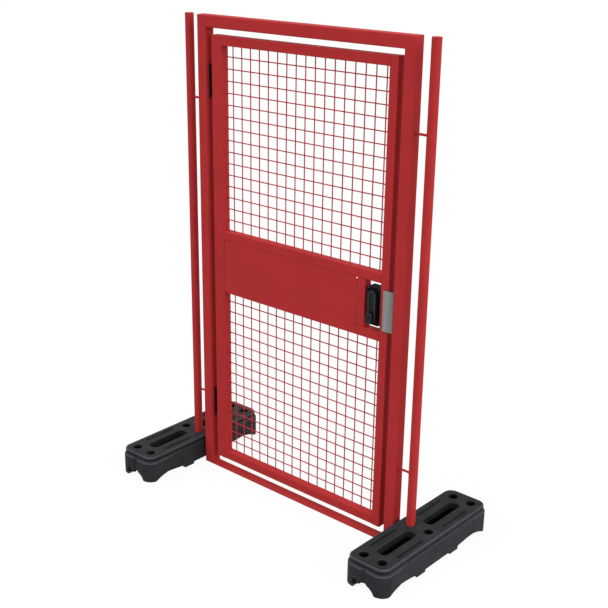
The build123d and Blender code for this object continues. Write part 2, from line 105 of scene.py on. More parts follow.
# How strongly a grain's relief tilts the surface
GRAIN_TILT = 0.35


def per_size(size_mm):
    """Texture scale at which one cell of a pattern is this many millimetres."""
    return 1 / (size_mm * MM)


def finish(name, tones, patch_mm, grain_mm, roughness, relief_mm, run=(1.0, 1.0, 1.0), painted_light=None,
           shader=None):
    """Material that drifts between two tones in patches, with a grain in its gloss and relief.

    The roughness goes from the grain's hollows to its tops, run stretches the pattern along an
    axis, and the last argument gives the tone that each of the piece's attributes of painted shade
    and painted highlight brings in.
    """
    material = bpy.data.materials.new(name)
    material.use_nodes = True
    tree = material.node_tree
    tree.nodes.clear()
    place = add(tree, "ShaderNodeTexCoord").outputs["Object"]
    drawn = add(tree, "ShaderNodeMapping", {"Vector": place, "Scale": run}).outputs["Vector"]
    middle = {"From Min": NOISE_FROM, "From Max": NOISE_TO}
    patch = add(tree, "ShaderNodeTexNoise", {"Vector": drawn, "Scale": per_size(patch_mm)})
    drift = add(tree, "ShaderNodeMapRange", {"Value": patch.outputs["Fac"], **middle})
    colour = add(tree, "ShaderNodeMix", {
        MIX_SHARE: drift.outputs["Result"], MIX_FROM: linear(tones[0]), MIX_TO: linear(tones[1]),
    }, data_type="RGBA")
    # Each attribute mixes a tone of painted shade or of painted highlight into the colour
    for attribute, tone in (painted_light or {}).items():
        amount = add(tree, "ShaderNodeAttribute", attribute_name=attribute)
        colour = add(tree, "ShaderNodeMix", {
            MIX_SHARE: amount.outputs["Fac"], MIX_FROM: colour.outputs[MIX_RESULT],
            MIX_TO: linear(tone),
        }, data_type="RGBA")
    grain = add(tree, "ShaderNodeTexNoise", {"Vector": drawn, "Scale": per_size(grain_mm)})
    sheen = add(tree, "ShaderNodeMapRange", {
        "Value": grain.outputs["Fac"], **middle, "To Min": roughness[0], "To Max": roughness[1],
    })
    bumps = add(tree, "ShaderNodeBump", {
        "Height": grain.outputs["Fac"], "Strength": GRAIN_TILT, "Distance": relief_mm * MM,
    })
    surface = add(tree, "ShaderNodeBsdfPrincipled", {
        "Base Color": colour.outputs[MIX_RESULT], "Roughness": sheen.outputs["Result"],
        "Normal": bumps.outputs["Normal"], **(shader or {}),
    })
    add(tree, "ShaderNodeOutputMaterial", {"Surface": surface.outputs["BSDF"]})
    return material


finishes = {
    # Polyester powder, sprayed and baked on steel: an even red with a low, soft gloss, and the
    # faint orange-peel that melted powder leaves, drawn at 5 mm, coarser than real, so that it
    # shows.
    "red_powder_coat": finish(
        "baked_polyester_powder_coat", tones=("#AB2F30", "#B33334"), patch_mm=180, grain_mm=5,
        roughness=(0.46, 0.6), relief_mm=0.35, shader={"Specular IOR Level": 0.04}),
    # Recycled rubber granulate, hot-pressed in a mould: dull charcoal with a grain, drawn at 3 mm
    # so that it shows. A painted highlight lightens its upper edges and a line along its shelf, and
    # painted shade darkens its hollows and the crease round it.
    "black_foot_rubber": finish(
        "pressed_recycled_rubber", tones=("#282A2C", "#323336"), patch_mm=60, grain_mm=3,
        roughness=(0.42, 0.52), relief_mm=0.2, painted_light={PAINTED_SHADE: "#0C0C0D", PAINTED_HIGHLIGHT: "#515457"},
        shader={"Specular IOR Level": 0.03}),
    # Black coat on pressed steel: a thin satin skin that is a little uneven.
    "black_hinge_paint": finish(
        "black_satin_paint_on_steel", tones=("#161616", "#1E1D1C"), patch_mm=12, grain_mm=5,
        roughness=(0.38, 0.5), relief_mm=0.05, shader={"IOR": 1.5}),
    # Bright zinc on turned and pressed steel: grey, and a little cloudy.
    "plain_steel": finish(
        "zinc_plated_steel", tones=("#A9ABAA", "#BDBFBF"), patch_mm=8, grain_mm=3,
        roughness=(0.3, 0.42), relief_mm=0.03, shader={"Metallic": 1.0}),
    # Stainless sheet, brushed along its height: cloudy upright streaks with fine lines, drawn
    # 0.8 mm apart so that they show.
    "stainless_steel": finish(
        "brushed_stainless_steel", tones=("#6F706F", "#939493"), patch_mm=7, grain_mm=0.8,
        roughness=(0.34, 0.46), relief_mm=0.05, run=(1.0, 1.0, 0.02), shader={"Metallic": 1.0}),
    # Soft rubber from a matt mould: dull black.
    "buffer_rubber": finish(
        "moulded_soft_rubber", tones=("#151515", "#1C1C1C"), patch_mm=6, grain_mm=1.2,
        roughness=(0.7, 0.82), relief_mm=0.05, shader={"IOR": 1.52}),
    # Glass-filled nylon from a spark-eroded mould: near black and dull, with a grain drawn at
    # 1.5 mm so that it shows, and a painted highlight that makes its edges a little paler.
    "black_lock_plastic": finish(
        "spark_textured_nylon", tones=("#090A0A", "#0D0E0E"), patch_mm=25, grain_mm=1.5,
        roughness=(0.5, 0.6), relief_mm=0.08, painted_light={PAINTED_HIGHLIGHT: "#2A2C2C"},
        shader={"Specular IOR Level": 0.03}),
    # Nylon from a smoother mould: a little greyer, with a soft highlight, a painted highlight that
    # makes its edges paler and painted shade that darkens its creases.
    "black_lever_plastic": finish(
        "smooth_moulded_nylon", tones=("#0B0E0E", "#111414"), patch_mm=25, grain_mm=1.5,
        roughness=(0.34, 0.44), relief_mm=0.06, painted_light={PAINTED_SHADE: "#030404", PAINTED_HIGHLIGHT: "#3C4242"},
        shader={"Specular IOR Level": 0.16}),
}


def finish_nodes():
    """Gives every CAD node the finish of its slot."""
    for row in frame["record"]["subparts"]:
        mesh = frame["nodes"][row["node"]].data
        mesh.materials.clear()
        mesh.materials.append(finishes[row["material_slot"]])


finish_nodes()


# Pieces, and the geometry trees for what repeats
def new_piece(name, mesh, body, slot, *replaced):
    """A piece at the origin that rides on a body and may stand for CAD nodes; its slot is not used.
    """
    piece = bpy.data.objects.new(name, mesh)
    bpy.context.scene.collection.objects.link(piece)
    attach(piece, body)
    if replaced:
        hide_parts(*replaced)
    return piece


def made_plain(piece):
    """Applies a piece's modifiers and hands back the plain mesh that is left."""
    depsgraph = bpy.context.evaluated_depsgraph_get()
    mesh = bpy.data.meshes.new_from_object(piece.evaluated_get(depsgraph))
    piece.modifiers.clear()
    piece.data = mesh
    return mesh


def new_tree(name, inputs):
    """A geometry tree that takes places and these named inputs, and its input sockets."""
    tree = bpy.data.node_groups.new(name, "GeometryNodeTree")
    tree.interface.new_socket("Places", in_out="INPUT", socket_type="NodeSocketGeometry")
    for label, kind in inputs.items():
        tree.interface.new_socket(label, in_out="INPUT", socket_type="NodeSocket" + kind)
    tree.interface.new_socket("Finish", in_out="INPUT", socket_type="NodeSocketMaterial")
    tree.interface.new_socket("Made", in_out="OUTPUT", socket_type="NodeSocketGeometry")
    return tree, add(tree, "NodeGroupInput").outputs


def end_tree(tree, given, geometry):
    """Makes the instances real, smooth and coated, and hands them out."""
    real = add(tree, "GeometryNodeRealizeInstances", {"Geometry": geometry})
    smooth = add(tree, "GeometryNodeSetShadeSmooth", {"Geometry": real.outputs["Geometry"]})
    coated = add(tree, "GeometryNodeSetMaterial", {
        "Geometry": smooth.outputs["Geometry"], "Material": given["Finish"],
    })
    add(tree, "NodeGroupOutput", {"Made": coated.outputs["Geometry"]})
    return tree


def grown(tree, places, values):
    """The plain mesh that a geometry tree makes at a mesh of places with these named inputs."""
    holder = bpy.data.objects.new(tree.name, places)
    bpy.context.scene.collection.objects.link(holder)
    modifier = holder.modifiers.new("grow", "NODES")
    modifier.node_group = tree
    for item in tree.interface.items_tree:
        if item.in_out == "INPUT" and item.name in values:
            modifier[item.identifier] = values[item.name]
    mesh = made_plain(holder)
    bpy.data.objects.remove(holder)
    return mesh


def paths_mesh(name, paths):
    """A mesh of bare edges along these paths of points in millimetres."""
    build = bmesh.new()
    for points in paths:
        row = [build.verts.new(Vector(p) * MM) for p in points]
        for one, other in zip(row, row[1:]):
            build.edges.new((one, other))
    mesh = bpy.data.meshes.new(name)
    build.to_mesh(mesh)
    build.free()
    return mesh


# Wire mesh of the leaf, with a weld nugget at every crossing
WIRE_PITCH = 50 * MM
WIRE_SIDES = 12
DROP_SEGMENTS = 8
DROP_RINGS = 6
NUGGET = (3.2 * MM, 2.6 * MM, 3.2 * MM)
# How unevenly nuggets and drops come out, as shares of their size
NUGGET_SPREAD = {"smallest": (0.8, 0.9, 0.8), "largest": (1.1, 1.05, 1.1), "seed": 4}
DROP_SPREAD = {"smallest": (0.85, 0.85, 0.85), "largest": (1.1, 1.1, 1.1), "seed": 7}


def add_drops(tree, places, size, smallest, largest, seed):
    """Adds an uneven drop of weld metal at each of the places."""
    drop = add(tree, "GeometryNodeMeshUVSphere", {
        "Segments": DROP_SEGMENTS, "Rings": DROP_RINGS, "Radius": 1.0,
    })
    uneven = add(tree, "FunctionNodeRandomValue", {
        "Min": smallest, "Max": largest, "Seed": seed,
    }, data_type="FLOAT_VECTOR")
    sized = add(tree, "ShaderNodeVectorMath", {0: size, 1: uneven.outputs["Value"]},
                operation="MULTIPLY")
    return add(tree, "GeometryNodeInstanceOnPoints", {
        "Points": places, "Instance": drop.outputs["Mesh"], "Scale": sized.outputs["Vector"],
    }).outputs["Instances"]


def wire_field_tree():
    """Round uprights and crosswires on a square pitch, with a nugget at every crossing."""
    tree, given = new_tree("wire_field", {
        "Columns": "Int", "Rows": "Int", "Pitch": "Float", "Wire radius": "Float",
        "First upright": "Vector", "Upright": "Vector",
        "First crosswire": "Vector", "Crosswire": "Vector",
        "Weld middle": "Vector", "Weld width": "Float", "Weld height": "Float", "Nugget": "Vector",
    })
    section = add(tree, "GeometryNodeCurvePrimitiveCircle", {
        "Resolution": WIRE_SIDES, "Radius": given["Wire radius"],
    })
    across = add(tree, "ShaderNodeCombineXYZ", {"X": given["Pitch"]})
    up = add(tree, "ShaderNodeCombineXYZ", {"Z": given["Pitch"]})
    made = []
    for count, first, run, step in (("Columns", "First upright", "Upright", across),
                                    ("Rows", "First crosswire", "Crosswire", up)):
        line = add(tree, "GeometryNodeCurvePrimitiveLine", {"End": given[run]})
        wire = add(tree, "GeometryNodeCurveToMesh", {
            "Curve": line.outputs["Curve"], "Profile Curve": section.outputs["Curve"],
            "Fill Caps": True,
        })
        row = add(tree, "GeometryNodeMeshLine", {
            "Count": given[count], "Start Location": given[first], "Offset": step.outputs["Vector"],
        })
        made.append(add(tree, "GeometryNodeInstanceOnPoints", {
            "Points": row.outputs["Mesh"], "Instance": wire.outputs["Mesh"],
        }).outputs["Instances"])
    field = add(tree, "GeometryNodeMeshGrid", {
        "Size X": given["Weld width"], "Size Y": given["Weld height"],
        "Vertices X": given["Columns"], "Vertices Y": given["Rows"],
    })
    stood = add(tree, "GeometryNodeTransform", {
        "Geometry": field.outputs["Mesh"], "Translation": given["Weld middle"],
        "Rotation": (math.pi / 2, 0, 0),
    })
    made.append(add_drops(tree, stood.outputs["Geometry"], given["Nugget"], **NUGGET_SPREAD))
    joined = add(tree, "GeometryNodeJoinGeometry")
    for instances in made:
        tree.links.new(instances, joined.inputs["Geometry"])
    return end_tree(tree, given, joined.outputs["Geometry"])


def wire_count(reach):
    """How many wires stand on the pitch from the first one's middle to the last one's."""
    return round(reach / WIRE_PITCH) + 1


def weld_mesh_field(tree, name):
    """The leaf's wire mesh in one opening, in the place of its two CAD nodes."""
    uprights = name + "_uprights"
    crosswires = name + "_crosswires"
    low, high = corners(uprights)
    left, right = corners(crosswires)
    radius = (high.y - low.y) / 2
    upright_y = (low.y + high.y) / 2
    crosswire_y = (left.y + right.y) / 2
    width = high.x - low.x - 2 * radius
    height = right.z - left.z - 2 * radius
    mesh = grown(tree, bpy.data.meshes.new(name), {
        "Columns": wire_count(width),
        "Rows": wire_count(height),
        "Pitch": WIRE_PITCH,
        "Wire radius": radius,
        "First upright": (low.x + radius, upright_y, low.z),
        "Upright": (0, 0, high.z - low.z),
        "First crosswire": (left.x, crosswire_y, left.z + radius),
        "Crosswire": (right.x - left.x, 0, 0),
        "Weld middle": (
            (low.x + high.x) / 2, (upright_y + crosswire_y) / 2, (left.z + right.z) / 2),
        "Weld width": width,
        "Weld height": height,
        "Nugget": NUGGET,
        "Finish": finishes["red_powder_coat"],
    })
    new_piece(name, mesh, "leaf", "red_powder_coat", uprights, crosswires)


wire_field = wire_field_tree()
for field_name in ("upper_mesh", "lower_mesh"):
    weld_mesh_field(wire_field, field_name)

# Mouldings: feet, lock covers and levers
# CAD points closer than this are one
MERGE = 0.01 * MM
SMOOTHING = 0.5
# Rounds that even out the painted highlight and shade, so that the grid doesn't show in them
EVENING_ROUNDS = 6
# The percentile of points that counts as a piece's sharpest edge
SHARPEST = 99.5
# Shares of the sharpest edge at which painting starts and is full: painted highlight on edges,
# painted shade in creases
HIGHLIGHT_SPAN = (0.25, 0.75)
SHADE_SPAN = (0.08, 0.45)
# How much of a foot's painted highlight an upright face gets, and how much more as it turns to face
# up
UPRIGHT_HIGHLIGHT = 0.2
UPWARD_HIGHLIGHT = 1.6
# Millimetres inside a foot's outline at which its deck starts, and the deck's share of painted
# highlight
DECK_BORDER = 26
DECK_HIGHLIGHT = 0.12
# Depths under a foot's top in millimetres, with the share of painted shade there: in sockets and
# grooves, in the hand pockets, which reach this far from the middle line, and in the crease round
# the outside; and with the share of painted highlight on the shelf under the crease
SOCKET_SHADE = ((1, 0), (4, 0.55), (16, 1))
POCKET_SHADE = ((1, 0), (4, 0.45), (10, 0.4), (20, 0.15), (26, 0.15), (33, 1))
POCKET_REACH = 27
CREASE_SHADE = ((7, 0), (14, 0.5), (18, 0.5), (23, 0))
SHELF_HIGHLIGHT = ((23, 0), (25.5, 0.6), (28, 0))


def numbers(items, name, width, kind=float):
    """One property of a mesh's points or edges as rows of numbers."""
    flat = numpy.empty(len(items) * width, dtype=kind)
    items.foreach_get(name, flat)
    return flat.reshape(-1, width)


def neighbour_mean(values, ends):
    """The mean of each point's neighbours, from the points' values and the edges' ends."""
    one, other = ends.T
    near = numpy.concatenate((one, other))
    far = numpy.concatenate((other, one))
    total = numpy.bincount(near, weights=values[far], minlength=len(values))
    return total / numpy.bincount(near, minlength=len(values))


def proudness(mesh):
    """How far each point stands proud of its neighbours, as a share of the sharpest edge."""
    points = numbers(mesh.vertices, "co", 3)
    outward = numbers(mesh.vertices, "normal", 3)
    ends = numbers(mesh.edges, "vertices", 2, int)
    around = numpy.stack([neighbour_mean(along, ends) for along in points.T], axis=1)
    proud = ((points - around) * outward).sum(axis=1)
    for _ in range(EVENING_ROUNDS):
        proud = (proud + neighbour_mean(proud, ends)) / 2
    return proud / numpy.percentile(proud, SHARPEST)


def ramp(values, start, full):
    """0 up to the start and 1 from the full value on, with a straight rise between."""
    return numpy.clip((values - start) / (full - start), 0, 1)


def by_depth(depth, table):
    """The amount that a table of depths and amounts gives at each depth."""
    return numpy.interp(depth, *zip(*table))


def mark(mesh, attribute, amount):
    """Writes an amount for each point as an attribute of the mesh."""
    mesh.attributes.new(attribute, "FLOAT", "POINT").data.foreach_set("value", amount)


def paint_light_on_lock_piece(mesh):
    """Paints a highlight on the edges of a cover or a lever and paints shade into its creases."""
    proud = proudness(mesh)
    mark(mesh, PAINTED_SHADE, ramp(-proud, *SHADE_SPAN))
    mark(mesh, PAINTED_HIGHLIGHT, ramp(proud, *HIGHLIGHT_SPAN))


def paint_light_on_foot(mesh):
    """Paints a highlight on a foot's rim and shelf, its deck hardly, and paints shade into its
    hollows and its crease.
    """
    points = numbers(mesh.vertices, "co", 3)
    upward = numbers(mesh.vertices, "normal", 3)[:, 2]
    low, high = points.min(axis=0), points.max(axis=0)
    inside = numpy.minimum(points - low, high - points)[:, :2].min(axis=1) / MM
    depth = (high[2] - points[:, 2]) / MM
    aside = numpy.abs(points[:, 0] - (low[0] + high[0]) / 2) / MM
    deck = inside > DECK_BORDER
    edges = ramp(proudness(mesh), *HIGHLIGHT_SPAN)
    edges *= numpy.clip(UPRIGHT_HIGHLIGHT + UPWARD_HIGHLIGHT * upward, 0, 1)
    # A painted highlight along the shelf under the crease
    side = numpy.maximum(edges, by_depth(depth, SHELF_HIGHLIGHT))
    mark(mesh, PAINTED_HIGHLIGHT, numpy.where(deck, DECK_HIGHLIGHT * edges, side))
    # Painted shade in the hollows of the deck and in the crease round the outside
    pockets = aside < POCKET_REACH
    hollow_shade = numpy.where(pockets, by_depth(depth, POCKET_SHADE), by_depth(depth, SOCKET_SHADE))
    mark(mesh, PAINTED_SHADE, numpy.where(deck, hollow_shade, by_depth(depth, CREASE_SHADE)))


def moulded(node, body, slot, paint_light, grid, rounds, kept=1.0):
    """A CAD node with all its edges rounded, as it leaves its mould, then given painted highlight
    and shade.

    The grid in millimetres and the rounds of smoothing give the edges' radius, and kept is the
    share of faces kept.
    """
    name = node + "_moulding"
    build = bmesh.new()
    build.from_mesh(frame["nodes"][node].data)
    bmesh.ops.remove_doubles(build, verts=build.verts, dist=MERGE)
    mesh = bpy.data.meshes.new(name)
    build.to_mesh(mesh)
    build.free()
    piece = new_piece(name, mesh, body, slot, node)
    cells = piece.modifiers.new("cells", "REMESH")
    cells.mode = "VOXEL"
    cells.voxel_size = grid * MM
    cells.use_smooth_shade = True
    rounding = piece.modifiers.new("rounding", "SMOOTH")
    rounding.factor = SMOOTHING
    rounding.iterations = rounds
    mesh = made_plain(piece)
    mesh.materials.clear()
    mesh.materials.append(finishes[slot])
    # Lays the painted highlight and shade into the mesh's attributes
    paint_light(mesh)
    if kept < 1:
        thinning = piece.modifiers.new("thinning", "DECIMATE")
        thinning.ratio = kept
        made_plain(piece)


for foot in ("hinge_side_foot", "lock_side_foot"):
    moulded(foot, "frame", "black_foot_rubber", paint_light_on_foot, grid=1.8, rounds=10, kept=0.3)
for cover in ("lock_front_cover", "lock_rear_cover"):
    moulded(cover, "leaf", "black_lock_plastic", paint_light_on_lock_piece, grid=0.9, rounds=3)
for lever in ("front_lever", "rear_lever"):
    moulded(lever, "handle", "black_lever_plastic", paint_light_on_lock_piece, grid=0.9, rounds=3)

# Welds under the coat of frame and leaf
BEAD_STEP = 2.4 * MM
BEAD_DROP = (2.6 * MM, 2.6 * MM, 2.6 * MM)
WIRE_END_DROP = (3.4 * MM, 3.4 * MM, 3.4 * MM)
# Millimetres by which a bead stops short of a tube's faces, and by which a ring clears its strut
FRAME_BEAD_INSET = 5
LEAF_BEAD_INSET = 4
RING_CLEARANCE = 0.5
RING_POINTS = 16


def weld_bead_tree():
    """Drops of weld metal that follow each other closely along a path."""
    tree, given = new_tree("weld_bead", {"Step": "Float", "Drop": "Vector"})
    path = add(tree, "GeometryNodeMeshToCurve", {"Mesh": given["Places"]})
    steps = add(tree, "GeometryNodeResampleCurve", {
        "Curve": path.outputs["Curve"], "Length": given["Step"],
    }, mode="LENGTH")
    drops = add_drops(tree, steps.outputs["Curve"], given["Drop"], **DROP_SPREAD)
    return end_tree(tree, given, drops)


def weld_dot_tree():
    """A drop of weld metal at each point."""
    tree, given = new_tree("weld_dot", {"Drop": "Vector"})
    return end_tree(tree, given, add_drops(tree, given["Places"], given["Drop"], **DROP_SPREAD))


def ring(radius, place):
    """A closed ring of points; place turns an offset in Y and Z into a point."""
    turns = [2 * math.pi * i / RING_POINTS for i in range(RING_POINTS + 1)]
    return [place(radius * math.cos(t), radius * math.sin(t)) for t in turns]


def frame_welds():
    """Beads round the struts' ends, in the frame's inner corners and along the sill's ends."""
    strut_low, strut_high = span("pole_struts")
    strut_radius = (strut_high.y - strut_low.y) / 2
    ring_radius = strut_radius + RING_CLEARANCE
    post_low, post_high = span("lock_post")
    pole_low, pole_high = span("lock_side_pole")
    pole_x = (pole_low.x + pole_high.x) / 2
    pole_radius = (pole_high.x - pole_low.x) / 2
    sill_top = span("sill_bar")[1].z
    rail_bottom = span("top_rail")[1].z - (post_high.x - post_low.x)
    depth = post_high.y - FRAME_BEAD_INSET
    paths = []
    for side in (-1, 1):
        for height in (strut_low.z + strut_radius, strut_high.z - strut_radius):
            paths.append(ring(ring_radius, lambda y, z: (side * post_high.x, y, height + z)))
            paths.append(ring(ring_radius, lambda y, z: (
                side * (pole_x - math.sqrt(pole_radius ** 2 - y ** 2)), y, height + z)))
        face = side * post_low.x
        for height in (sill_top, rail_bottom):
            paths.append([(face, -depth, height), (face, depth, height)])
    return paths


def leaf_welds():
    """Beads on the inner sides of the joints between rails, stiles and the lock bay upright."""
    lock_low, lock_high = span("lock_stile")
    front = lock_low.y + LEAF_BEAD_INSET
    back = lock_high.y - LEAF_BEAD_INSET
    hinge_face = span("hinge_stile")[1].x
    lock_face = lock_low.x
    upright_face = span("lock_bay_upright")[1].x
    bottom = span("leaf_bottom_rail")[1].z
    lower_mid = span("lower_mid_rail")
    upper_mid = span("upper_mid_rail")
    top = span("leaf_top_rail")[0].z
    inner = [(face, z) for face in (hinge_face, lock_face)
             for z in (bottom, lower_mid[0].z, upper_mid[1].z, top)]
    inner += [(face, z) for face in (upright_face, lock_face)
              for z in (lower_mid[1].z, upper_mid[0].z)]
    return [[(x, front, z), (x, back, z)] for x, z in inner]


def wire_ends(name):
    """The points at which a mesh field's wires meet the leaf's tubes."""
    low, high = span(name + "_uprights")
    left, right = span(name + "_crosswires")
    radius = (high.y - low.y) / 2
    pitch = WIRE_PITCH / MM
    columns = wire_count((high.x - low.x - 2 * radius) * MM)
    rows = wire_count((right.z - left.z - 2 * radius) * MM)
    ends = [[(low.x + radius + i * pitch, low.y + radius, z)]
            for i in range(columns) for z in (low.z, high.z)]
    ends += [[(x, left.y + radius, left.z + radius + i * pitch)]
             for i in range(rows) for x in (left.x, right.x)]
    return ends


def lay_welds(name, tree, body, paths, drop):
    """Weld drops under the red coat, along paths or at points, on one body."""
    mesh = grown(tree, paths_mesh(name, paths), {
        "Step": BEAD_STEP, "Drop": drop, "Finish": finishes["red_powder_coat"],
    })
    new_piece(name, mesh, body, "red_powder_coat")


weld_bead = weld_bead_tree()
lay_welds("frame_weld_beads", weld_bead, "frame", frame_welds(), BEAD_DROP)
lay_welds("leaf_weld_beads", weld_bead, "leaf", leaf_welds(), BEAD_DROP)
lay_welds("wire_end_welds", weld_dot_tree(), "leaf",
          wire_ends("upper_mesh") + wire_ends("lower_mesh"), WIRE_END_DROP)

# Screws of covers, hinges and keep, in millimetres
HEAD_SIDES = 24
# A head's outline from its seat to its socket's rim, as shares of its radius and height
HEAD_OUTLINE = ((1, 0), (1, 0.3), (0.9, 0.65), (0.72, 0.9), (0.56, 1))
SOCKET_FLOOR = 0.3
# A hexagon looks the same again after this turn, so a screw stops anywhere within it
HEXAGON_TURN = math.pi / 3
TWIST_SEED = 11
COVER_SCREW = {"radius": 3.2, "height": 1.6, "socket": 1.1}
COVER_SCREW_INSET = 7
HINGE_SCREW = {"radius": 4.0, "height": 2.2, "socket": 1.5}
HINGE_SCREW_INSET = 18
HINGE_SCREW_SETBACK = 9
FLAP_THICKNESS = 3
KEEP_SCREW = {"radius": 4.5, "height": 2.4, "socket": 1.7}
KEEP_SCREW_INSET = 25
KEEP_SCREW_SETBACK = 10
KEEP_THICKNESS = 3
FACING = {
    "front": (math.pi / 2, 0, 0),
    "back": (-math.pi / 2, 0, 0),
    "right": (0, math.pi / 2, 0),
    "left": (0, -math.pi / 2, 0),
}


def screw_head(radius, height, socket):
    """A low domed screw head with a hexagon socket, on the XY plane and facing +Z, as a mesh."""
    build = bmesh.new()

    def circle(size, z, six=False):
        points = []
        for i in range(HEAD_SIDES):
            turn = 2 * math.pi * i / HEAD_SIDES
            reach = size
            if six:
                reach = size / math.cos((turn % HEXAGON_TURN) - HEXAGON_TURN / 2)
            points.append(build.verts.new((reach * math.cos(turn), reach * math.sin(turn), z)))
        return points

    rings = [circle(share * radius, rise * height) for share, rise in HEAD_OUTLINE]
    rings += [circle(socket, rise * height, six=True) for rise in (1, SOCKET_FLOOR)]
    for low, high in zip(rings, rings[1:]):
        for i in range(HEAD_SIDES):
            j = (i + 1) % HEAD_SIDES
            build.faces.new((low[i], low[j], high[j], high[i]))
    build.faces.new(rings[-1])
    build.faces.new(list(reversed(rings[0])))
    mesh = bpy.data.meshes.new("screw_head")
    build.to_mesh(mesh)
    build.free()
    return mesh


def screw_tree():
    """A screw head at each point, turned to face one way and twisted at random about its axis."""
    tree, given = new_tree("screws", {"Head": "Object", "Turn": "Vector"})
    head = add(tree, "GeometryNodeObjectInfo", {"Object": given["Head"], "As Instance": True})
    facing = add(tree, "FunctionNodeEulerToRotation", {"Euler": given["Turn"]})
    heads = add(tree, "GeometryNodeInstanceOnPoints", {
        "Points": given["Places"], "Instance": head.outputs["Geometry"],
        "Rotation": facing.outputs["Rotation"],
    })
    twist = add(tree, "FunctionNodeRandomValue", {
        "Max": (0.0, 0.0, HEXAGON_TURN), "Seed": TWIST_SEED,
    }, data_type="FLOAT_VECTOR")
    turned = add(tree, "GeometryNodeRotateInstances", {
        "Instances": heads.outputs["Instances"], "Rotation": twist.outputs["Value"],
        "Local Space": True,
    })
    return end_tree(tree, given, turned.outputs["Instances"])


screws = screw_tree()


def drive_screws(name, body, slot, facing, points, radius, height, socket):
    """Screw heads at these points, all facing one way, on one body."""
    head = bpy.data.objects.new("head", screw_head(radius * MM, height * MM, socket * MM))
    bpy.context.scene.collection.objects.link(head)
    mesh = grown(screws, paths_mesh(name, [[p] for p in points]), {
        "Head": head, "Turn": FACING[facing], "Finish": finishes[slot],
    })
    bpy.data.objects.remove(head)
    new_piece(name, mesh, body, slot)


def cover_screws(node, facing, y):
    """Four screws in a lock cover's corners."""
    low, high = span(node)
    points = [(x, y, z) for x in (low.x + COVER_SCREW_INSET, high.x - COVER_SCREW_INSET)
              for z in (low.z + COVER_SCREW_INSET, high.z - COVER_SCREW_INSET)]
    drive_screws(node + "_screws", "leaf", "black_hinge_paint", facing, points, **COVER_SCREW)


def hinge_screws(name):
    """Three screws in each flap of a hinge, in front of its knuckles."""
    post_low, post_high = span(name + "_post_flap")
    leaf_high = span(name + "_leaf_flap")[1]
    y = post_low.y + HINGE_SCREW_SETBACK
    heights = [post_low.z + HINGE_SCREW_INSET, (post_low.z + post_high.z) / 2,
               post_high.z - HINGE_SCREW_INSET]
    drive_screws(name + "_post_screws", "frame", "black_hinge_paint", "right",
                 [(post_low.x + FLAP_THICKNESS, y, z) for z in heights], **HINGE_SCREW)
    drive_screws(name + "_leaf_screws", "leaf", "black_hinge_paint", "left",
                 [(leaf_high.x - FLAP_THICKNESS, y, z) for z in heights], **HINGE_SCREW)


def keep_screws():
    """Two screws that hold the keep to the lock post."""
    low, high = span("lock_keep")
    x = high.x - KEEP_THICKNESS
    y = high.y - KEEP_SCREW_SETBACK
    heights = (low.z + KEEP_SCREW_INSET, high.z - KEEP_SCREW_INSET)
    drive_screws("keep_screws", "frame", "plain_steel", "left",
                 [(x, y, z) for z in heights], **KEEP_SCREW)


cover_screws("lock_front_cover", "front", span("lock_front_cover")[0].y)
cover_screws("lock_rear_cover", "back", span("lock_rear_cover")[1].y)
hinge_screws("upper_hinge")
hinge_screws("lower_hinge")
keep_screws()

# Latch spring
SPRING_TURNS = 8.0
SPRING_WIRE_RADIUS = 0.5 * MM
SPRING_WIRE_SIDES = 8
POINTS_PER_TURN = 20


def spring_tree():
    """A wire wound into a coil along X, from a given start."""
    tree, given = new_tree("wound_spring", {
        "Turns": "Float", "Coil radius": "Float", "Length": "Float", "Wire radius": "Float",
        "Start": "Vector",
    })
    coil = add(tree, "GeometryNodeCurveSpiral", {
        "Resolution": POINTS_PER_TURN, "Rotations": given["Turns"],
        "Start Radius": given["Coil radius"], "End Radius": given["Coil radius"],
        "Height": given["Length"],
    })
    section = add(tree, "GeometryNodeCurvePrimitiveCircle", {
        "Resolution": SPRING_WIRE_SIDES, "Radius": given["Wire radius"],
    })
    wire = add(tree, "GeometryNodeCurveToMesh", {
        "Curve": coil.outputs["Curve"], "Profile Curve": section.outputs["Curve"],
        "Fill Caps": True,
    })
    laid = add(tree, "GeometryNodeTransform", {
        "Geometry": wire.outputs["Mesh"], "Translation": given["Start"],
        "Rotation": (0, math.pi / 2, 0),
    })
    return end_tree(tree, given, laid.outputs["Geometry"])


def wind_latch_spring():
    """The latch spring as a wound wire."""
    low, high = corners("latch_spring")
    middle = (low + high) / 2
    length = high.x - low.x
    wire = SPRING_WIRE_RADIUS
    mesh = grown(spring_tree(), bpy.data.meshes.new("spring"), {
        "Turns": SPRING_TURNS,
        "Coil radius": (high.y - low.y) / 2 - wire,
        "Length": length - 2 * wire,
        "Wire radius": wire,
        "Start": (low.x + wire, middle.y, middle.z),
        "Finish": finishes["plain_steel"],
    })
    spring = new_piece("latch_spring_coil", mesh, "leaf", "plain_steel", "latch_spring")
    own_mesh(spring)


wind_latch_spring()

# Camera, set to the view of the photograph: pixels, metres and degrees
PHOTO_SIDE = 608
FOCAL_PIXELS = 1103.4
AXIS_PIXEL = (283.75, 323.2)
CAMERA_PLACE = (2.895, -3.301, 2.517)
CAMERA_YAW = 42.048
CAMERA_PITCH = 20.837
CAMERA_ROLL = 0.416
SENSOR_MM = 36.0


